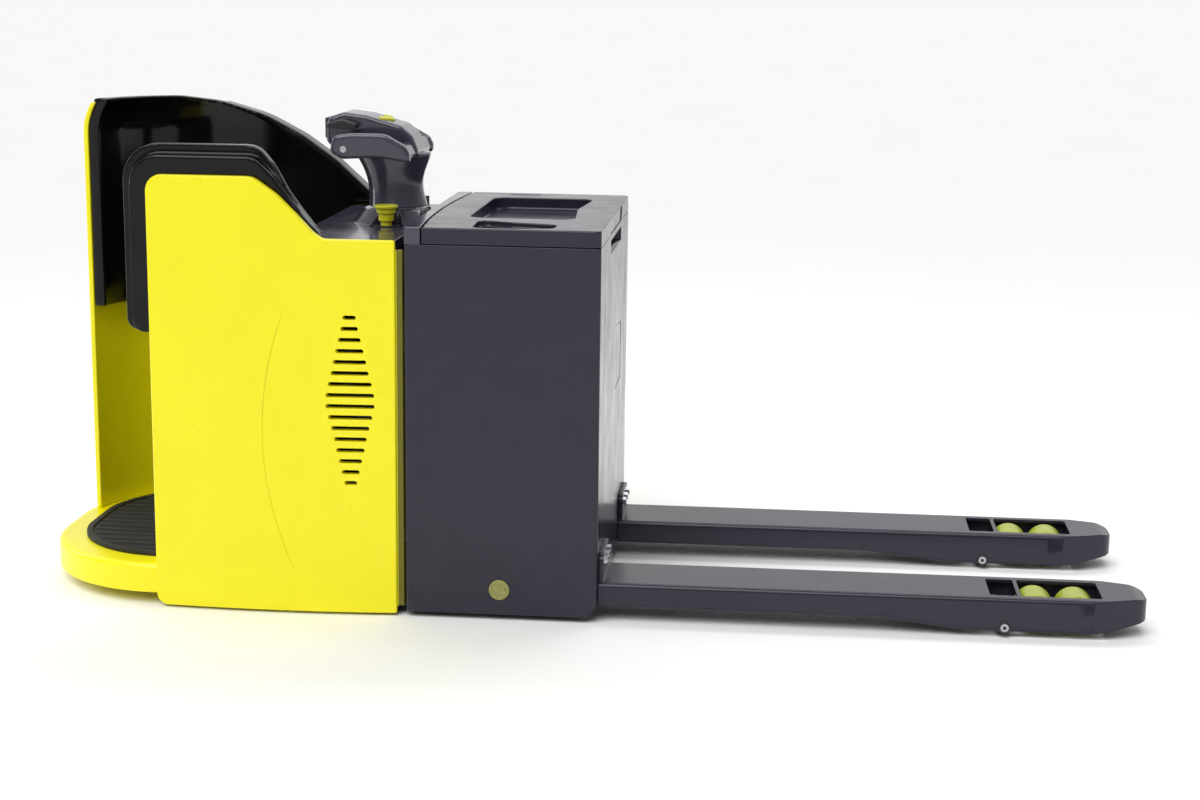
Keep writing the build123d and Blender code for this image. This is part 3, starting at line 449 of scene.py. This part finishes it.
def turned(profile, centre, axis="Y", steps=None, closed=True):
    """bmesh turned about the X, Y or Z through centre; profile is (along, radius) in mm."""
    bm = bmesh.new()
    verts = [bm.verts.new((r * MM, 0, a * MM)) for a, r in profile]
    edges = [bm.edges.new((verts[i], verts[i + 1])) for i in range(len(verts) - 1)]
    if closed:
        edges.append(bm.edges.new((verts[-1], verts[0])))
    bmesh.ops.spin(bm, geom=verts + edges, cent=(0, 0, 0), axis=(0, 0, 1), angle=2 * pi,
                   steps=steps or sizes().turns, use_merge=True)
    bmesh.ops.remove_doubles(bm, verts=bm.verts, dist=1e-6)
    bmesh.ops.recalc_face_normals(bm, faces=bm.faces)
    turn = {"X": Matrix.Rotation(radians(90), 4, "Y"), "Y": Matrix.Rotation(radians(-90), 4, "X"),
            "Z": Matrix.Identity(4)}[axis]
    bmesh.ops.transform(bm, matrix=Matrix.Translation(centre) @ turn, verts=bm.verts)
    return bm


def slab(low, high, edge=0.0, segments=2):
    """bmesh of a block between two corners with rounded edges."""
    bm = bmesh.new()
    bmesh.ops.create_cube(bm, size=1)
    low, high = Vector(low), Vector(high)
    bmesh.ops.scale(bm, vec=high - low, verts=bm.verts)
    bmesh.ops.translate(bm, vec=(low + high) / 2, verts=bm.verts)
    if edge:
        bmesh.ops.bevel(bm, geom=bm.edges[:], offset=edge, offset_type="OFFSET", affect="EDGES",
                        segments=segments, profile=0.5, material=-1)
    return bm


def gather(parts):
    """One bmesh from several."""
    out = bmesh.new()
    for bm in parts:
        mesh = bpy.data.meshes.new("part")
        bm.to_mesh(mesh)
        bm.free()
        out.from_mesh(mesh)
        bpy.data.meshes.remove(mesh)
    return out


# ------------------------------------------------------------------ operators
class TRUCK_OT_panels(bpy.types.Operator):
    """Glossy yellow side panels, rear wall and platform"""
    bl_idname = "truck.panels"
    bl_label = "Body panels"

    def execute(self, context):
        vent_edge, roll_edge, bulge = 1.2 * MM, 2.5 * MM, 12 * MM

        def outline(m, e):
            """Every edge but those of the vents and the crease."""
            vent = VENTS_X[0] < m.x < VENTS_X[1] and VENTS_Z[0] < m.z < VENTS_Z[1]
            return not on_crease(m) and not vent

        def detail(m, e):
            """Edges of the vents, and of the crease's outer arc only, so its inner side fades out."""
            return (abs(m.y) > SKIN and not outline(m, e)
                    and (not on_crease(m) or crease_radius(m) > CREASE_OUTER))

        for node in ("near_panel", "far_panel"):
            bm = merged_copy(node)
            low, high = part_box(node)
            side = -1 if low.y < 0 else 1
            if side < 0:
                # the inner wall is drawn in until it ends flush with the outer skin
                skin_end = min(v.co.x for v in bm.verts if abs(v.co.y) > SKIN + 10 * MM)
                for v in bm.verts:
                    if v.co.x < skin_end - 0.1 * MM:
                        v.co.x += skin_end - low.x
                bmesh.ops.remove_doubles(bm, verts=bm.verts[:], dist=0.02 * MM)
                bmesh.ops.dissolve_degenerate(bm, dist=0.02 * MM, edges=bm.edges[:])
            # the floor of the crease rises to the crowned skin, deepest at mid height
            middle_x, half = (PANEL_FRONT + low.x) / 2, (PANEL_FRONT - low.x) / 2
            radius = (half ** 2 + bulge ** 2) / (2 * bulge)
            outermost = abs(low.y) if side < 0 else high.y
            for v in bm.verts:
                skin = outermost - radius + (radius ** 2 - (v.co.x - middle_x) ** 2) ** 0.5
                if on_crease(v.co) and 0.4 * MM < skin - abs(v.co.y) < 1.5 * MM:
                    fade = max(0, 1 - abs(v.co.z - 0.33) / 0.32)
                    v.co.y = side * (skin - 0.3 * MM * fade)
            soften(bm, sizes().panel_edge, 4, 40, outline)
            soften(bm, vent_edge, 2, 50, detail)
            shell = bake(bm, node + "_moulding", "chassis", abs_yellow(), (node,))
            # the recessed return-flange faces in the gap get a darker yellow: painted shade, where the
            # moulding is really the shell yellow
            shell.data.materials.append(painted_shade_flange_yellow())
            for face in shell.data.polygons:
                c = face.center
                if c.x > PANEL_FRONT - 4 * MM and abs(c.y) < SKIN - 0.5 * MM:
                    face.material_index = 1
        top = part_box("rear_wall")[1].z
        bm = merged_copy("rear_wall")
        for drop in range(2, 84, 8):
            bmesh.ops.bisect_plane(bm, geom=bm.verts[:] + bm.edges[:] + bm.faces[:], dist=1e-6,
                                   plane_co=(0, 0, top - drop * MM), plane_no=(0, 0, 1))
        for v in bm.verts:
            v.co = rolled_in(v.co)
        soften(bm, roll_edge, 3, 50)
        bake(bm, "rear_wall_moulding", "chassis", abs_yellow(), ("rear_wall",))
        rounded_copy("platform", 3 * MM, 3, "platform_moulding")
        return {"FINISHED"}


class TRUCK_OT_guards(bpy.types.Operator):
    """Black guard mouldings inside the walls"""
    bl_idname = "truck.guards"
    bl_label = "Guards"

    def execute(self, context):
        moulded_copy("near_guard", 3 * MM, 9, "near_guard_moulding")
        liner = moulded_copy("far_liner", 4.5 * MM, 10, "far_liner_moulding")
        for v in liner.data.vertices:
            v.co = rolled_in(v.co)
        return {"FINISHED"}


class TRUCK_OT_mat(bpy.types.Operator):
    """Ribbed rubber mat on the platform"""
    bl_idname = "truck.mat"
    bl_label = "Floor mat"

    def execute(self, context):
        rounded_copy("floor_mat", 1.2 * MM, 2, "floor_mat_pressed")
        return {"FINISHED"}


class TRUCK_OT_console(bpy.types.Operator):
    """Console cover with gauge, key switch and stop button"""
    bl_idname = "truck.console"
    bl_label = "Console"

    def execute(self, context):
        rounded_copy("console", 2 * MM, 3, "console_cover", angle=40)
        rounded_copy("console_switches", 0.8 * MM, 2, "console_switch_bodies", angle=40)
        low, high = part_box("estop_button")
        centre, crown = (low + high) / 2, (high.z - low.z) / MM
        # stem, collar, flared skirt and domed top, in mm up from the foot
        profile = [(0, 0), (0, 12), (34, 12), (34.5, 16.5), (50, 17), (51, 20.6), (61, 21.6),
                   (62.4, 25.6), (64, 26), (crown - 1.6, 26), (crown - 0.4, 24.8), (crown, 22),
                   (crown - 0.8, 0)]
        bm = turned(profile, (centre.x, centre.y, low.z), "Z", closed=False)
        bake(bm, "stop_button_mushroom", "estop_body", control_plastic(),
             ("estop_button",))
        # display window with five bars
        gauge_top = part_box("box_rear_rail")[0].z + 6 * MM

        def on_gauge(x_half, y0, y1, z0, z1, edge):
            """Rounded block on the gauge; y and z in mm from its middle and its top."""
            return slab((GAUGE_X - x_half * MM, GAUGE_Y + y0 * MM, gauge_top + z0 * MM),
                        (GAUGE_X + x_half * MM, GAUGE_Y + y1 * MM, gauge_top + z1 * MM), edge * MM)

        bake(on_gauge(21, -36, 36, -0.6, 1.2, 0.5), "gauge_window", "chassis",
             display_glass())
        bars = [on_gauge(12, 12 * i - 30, 12 * i - 23, 1.0, 1.5, 0.2) for i in range(5)]
        bake(gather(bars), "gauge_bars", "chassis", control_plastic())
        return {"FINISHED"}


class TRUCK_OT_tiller(bpy.types.Operator):
    """Turret tiller: column, head, hand guards, grips and thumb controls"""
    bl_idname = "truck.tiller"
    bl_label = "Tiller"

    def execute(self, context):
        moulded_copy("tiller_column", 2 * MM, 6, "tiller_column_cover")
        shoulder, draw_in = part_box("tiller_head")[1].x - 62 * MM, 0.33

        def tucked(p):
            """Draws the overhanging rear shoulder of the head in over the neck."""
            over = max(0, p.x - shoulder)
            return Vector((p.x - draw_in * over, p.y, p.z))

        moulded_copy("tiller_head", 1.8 * MM, 7, "tiller_head_cover", reshape=tucked)
        for side in ("right", "left"):
            node = "hand_guard_" + side
            moulded_copy(node, 1.8 * MM, 7, node + "_cover", reshape=tucked)
        rounded_copy("throttle", 1.5 * MM, 3, "thumb_paddles")
        rounded_copy("belly_button", 2 * MM, 3, "belly_button_cap")
        for node in ("horn_button", "lift_button", "lower_button"):
            rounded_copy(node, 0.4 * MM, 2, node + "_cap", angle=60)
        grips = []
        y_in, y_out, pitch = 58, 138, 6
        for side in (-1, 1):
            profile = [(y_in, 4), (y_in, 12)]
            for y in range(y_in + 3, y_out - pitch, pitch):
                profile += [(y, 13), (y + 3.2, 13), (y + 3.8, 11.9), (y + 5.2, 11.9), (y + 5.8, 13)]
            profile += [(y_out, 12.6), (y_out, 4)]
            profile = [(side * a, r) for a, r in profile]
            grips.append(turned(profile, (GRIP_X, 0, GRIP_Z), "Y"))
        bake(gather(grips), "ribbed_grips", "tiller", grip_rubber(), ("grips",))
        return {"FINISHED"}


class TRUCK_OT_box(bpy.types.Operator):
    """Battery box with its lid, rail, discs and hatch"""
    bl_idname = "truck.box"
    bl_label = "Battery box"

    def execute(self, context):
        def outer(m, e):
            """Every edge but those of the small recess in the fork end."""
            return not (m.x > station(40) and abs(m.y) < RECESS_HALF
                        and RECESS_Z[0] < m.z < RECESS_Z[1])

        rounded_copy("battery_box", sizes().steel_edge, 3, "battery_box_shell", where=outer)
        rounded_copy("box_rear_rail", 1.5 * MM, 2, "box_rear_rail_cover")
        lid_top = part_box("box_rear_rail")[1].z

        def tray_foot(m, e):
            """Level inner edges at the foot of the trays."""
            level = abs(e.verts[0].co.z - e.verts[1].co.z) < 1e-5 and not e.is_convex
            return (level and lid_top - 29 * MM < m.z < lid_top - 8 * MM
                    and abs(m.y) < SKIN + 2 * MM and TRAY_REAR < m.x < LID_FRONT)

        def rim(m, e):
            """Edges that lie in the lid's top face."""
            return abs(m.z - lid_top) < 1e-4 and abs(m.y) < SKIN and m.x < LID_FRONT

        bm = merged_copy("lid")
        soften(bm, 7 * MM, 4, 50, tray_foot)
        soften(bm, 3 * MM, 3, 50, rim)
        bake(bm, "lid_cover", "lid_body", powder_grey(), ("lid",))
        trim = rounded_copy("box_trim", 0.5 * MM, 2, "box_trim_plates")
        trim.data.materials.append(powder_grey())
        for part in trim.data.polygons:
            if part.center.x > LID_FRONT:
                part.material_index = 1
        rounded_copy("battery", 2 * MM, 2, "battery_block")
        return {"FINISHED"}


class TRUCK_OT_forks(bpy.types.Operator):
    """Forks, load wheels and their carriers"""
    bl_idname = "truck.forks"
    bl_label = "Forks"

    def execute(self, context):
        ends = []
        for side in ("right", "left"):
            fork_low, fork_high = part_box("fork_" + side)
            pin_x, pin_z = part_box("load_arm_" + side)[0].x + 14 * MM, 22 * MM
            for y, out in ((fork_low.y, -1), (fork_high.y, 1)):
                # welded collar round the pin, and its six-sided end
                ring = [(0.2, 8.7), (2.4, 8.7), (3.0, 9.4), (3.0, 12.2), (2.2, 13), (0.2, 13)]
                cap = [(1.2, 0), (1.2, 3.6), (2.0, 4.2), (2.6, 4.2), (2.6, 0)]
                for profile, steps, closed in ((ring, 40, True), (cap, 6, False)):
                    profile = [(out * a, r) for a, r in profile]
                    ends.append(turned(profile, (pin_x, y, pin_z), "Y", steps, closed))
            rounded_copy("fork_" + side, 1.6 * MM, 3, "fork_" + side + "_pressing")
            for node in ("load_arm_", "bogie_"):
                rounded_copy(node + side, 0.8 * MM, 2, node + side + "_forging")
            for end in ("rear", "front"):
                node = "load_wheel_" + side + "_" + end
                low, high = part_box(node)
                r, h = (high.z - low.z) / 2 / MM, (high.y - low.y) / 2 / MM
                # one half from the bore out over hub, web and crowned tread, then its mirror
                inset = [(3, 8.3), (3, 14), (1.5, 15), (1.5, 24), (3, 25), (3, 28), (0, 29.5),
                         (0, r - 4.5), (1.4, r - 1.6), (4.5, r - 0.2), (8, r)]
                profile = [(a - h, b) for a, b in inset] + [(h - a, b) for a, b in reversed(inset)]
                bm = turned(profile, (low + high) / 2, "Y")
                bake(bm, node + "_tread", BODY_OF[node], roller_pu(), (node,))
        bake(gather(ends), "pin_collars", "lift_frame", frame_black())
        return {"FINISHED"}


class TRUCK_OT_machine(bpy.types.Operator):
    """Drive unit, casters and the other machine-room pieces"""
    bl_idname = "truck.machine"
    bl_label = "Machine room"

    def execute(self, context):
        for tag in ("right", "left"):
            rounded_copy("caster_fork_" + tag, 0.8 * MM, 2, "caster_fork_" + tag + "_pressing")
        rounded_copy("drive_tyre", 1.0 * MM, 2, "drive_tyre_tread")
        rounded_copy("hydraulic_pack", 2 * MM, 3, "hydraulic_pack_housing")
        return {"FINISHED"}


class TRUCK_OT_carried(bpy.types.Operator):
    """Finishes for the mechanical nodes that show as they are"""
    bl_idname = "truck.carried"
    bl_label = "Carried nodes"

    def execute(self, context):
        for name, obj in NODES.items():
            dress(obj, SLOT_FINISH[SLOT_OF[name]]())
        return {"FINISHED"}


FLOOR_HALF = 400                                # metres: the floor's edge is out of sight
CAMERA_PLACE = (0.419, -4.5377, 1.3439)


class TRUCK_OT_stage(bpy.types.Operator):
    """Pale floor, soft light and the camera"""
    bl_idname = "truck.stage"
    bl_label = "Stage"

    def execute(self, context):
        bm = bmesh.new()
        bmesh.ops.create_grid(bm, x_segments=1, y_segments=1, size=FLOOR_HALF)
        mesh = bpy.data.meshes.new("floor")
        bm.to_mesh(mesh)
        bm.free()
        floor = bpy.data.objects.new("floor", mesh)
        context.scene.collection.objects.link(floor)
        # matt painted studio floor: near white, even
        dress(floor, surface("studio_floor_paint", srgb("#FBFBFB"), 0.9, ior=1.2,
                             mottle=(900, 0.005), grain=(4, 0.01)))

        world = bpy.data.worlds.new("studio_air")
        world.use_nodes = True
        back = world.node_tree.nodes["Background"]
        back.inputs["Color"].default_value = srgb("#FFFFFF")
        sky = world.node_tree
        # brighter behind the truck than in front of it
        heading = add(sky, "ShaderNodeSeparateXYZ",
                      Vector=add(sky, "ShaderNodeTexCoord").outputs["Generated"])
        glow = add(sky, "ShaderNodeMapRange", {
            "From Min": -0.2, "From Max": 0.9, "To Min": 0.3, "To Max": 0.85,
        }, Value=heading.outputs["Y"])
        sky.links.new(glow.outputs["Result"], back.inputs["Strength"])
        context.scene.world = world

        def panel_light(name, place, target, width, height, watts):
            data = bpy.data.lights.new(name, "AREA")
            data.shape = "RECTANGLE"
            data.size, data.size_y, data.energy = width, height, watts
            lamp = bpy.data.objects.new(name, data)
            lamp.location = place
            lamp.rotation_euler = (Vector(target) - Vector(place)).to_track_quat("-Z", "Y").to_euler()
            context.scene.collection.objects.link(lamp)

        key = bpy.data.lights.new("broad_key", "SUN")
        key.energy = 2.1
        key.angle = radians(50)
        key_lamp = bpy.data.objects.new("broad_key", key)
        key_lamp.rotation_euler = Vector((0.3, 0.75, -1.0)).to_track_quat("-Z", "Y").to_euler()
        context.scene.collection.objects.link(key_lamp)
        panel_light("overhead_strip", (0.0, 1.3, 3.4), (0.0, 0.0, 0.4), 4.0, 0.8, 42)
        panel_light("left_strip", (-3.2, 0.5, 1.4), (-0.4, 0, 0.9), 0.5, 1.7, 14)

        # camera in front of the near side, turned a little to the left and tilted down
        yaw, pitch, roll = radians(5.018), radians(11.591), radians(0.757)
        ahead = Vector((-sin(yaw) * cos(pitch), cos(yaw) * cos(pitch), -sin(pitch)))
        right = Vector((cos(yaw), sin(yaw), 0))
        up = right.cross(ahead)
        across = right * cos(roll) + up * sin(roll)
        top = -right * sin(roll) + up * cos(roll)
        data = bpy.data.cameras.new("camera")
        data.sensor_width = 36
        data.lens = 62.169
        camera = bpy.data.objects.new("camera", data)
        axes = Matrix((across, top, -ahead)).transposed()
        camera.matrix_world = Matrix.Translation(CAMERA_PLACE) @ axes.to_4x4()
        context.scene.collection.objects.link(camera)
        context.scene.camera = camera
        context.scene.view_settings.view_transform = "Standard"
        return {"FINISHED"}


class TRUCK_PT_panel(bpy.types.Panel):
    """Lists the pieces and settings"""
    bl_idname = "TRUCK_PT_panel"
    bl_label = "Pallet truck"
    bl_space_type = "VIEW_3D"
    bl_region_type = "UI"
    bl_category = "Truck"

    def draw(self, context):
        for group in (context.scene.truck_finish, context.scene.truck_sizes):
            for prop in group.__annotations__:
                self.layout.prop(group, prop)
        for op in OPERATORS:
            self.layout.operator(op.bl_idname)


OPERATORS = (
    TRUCK_OT_carried, TRUCK_OT_panels, TRUCK_OT_guards, TRUCK_OT_mat, TRUCK_OT_console, TRUCK_OT_tiller,
    TRUCK_OT_box, TRUCK_OT_forks, TRUCK_OT_machine, TRUCK_OT_stage,
)
CLASSES = (TruckFinish, TruckSizes, TRUCK_PT_panel) + OPERATORS


def register():
    for c in CLASSES:
        bpy.utils.register_class(c)
    bpy.types.Scene.truck_finish = PointerProperty(type=TruckFinish)
    bpy.types.Scene.truck_sizes = PointerProperty(type=TruckSizes)


def unregister():
    del bpy.types.Scene.truck_sizes
    del bpy.types.Scene.truck_finish
    for c in reversed(CLASSES):
        bpy.utils.unregister_class(c)


def main():
    register()
    for op in OPERATORS:
        group, name = op.bl_idname.split(".")
        getattr(getattr(bpy.ops, group), name)()


if __name__ == "__main__":
    main()
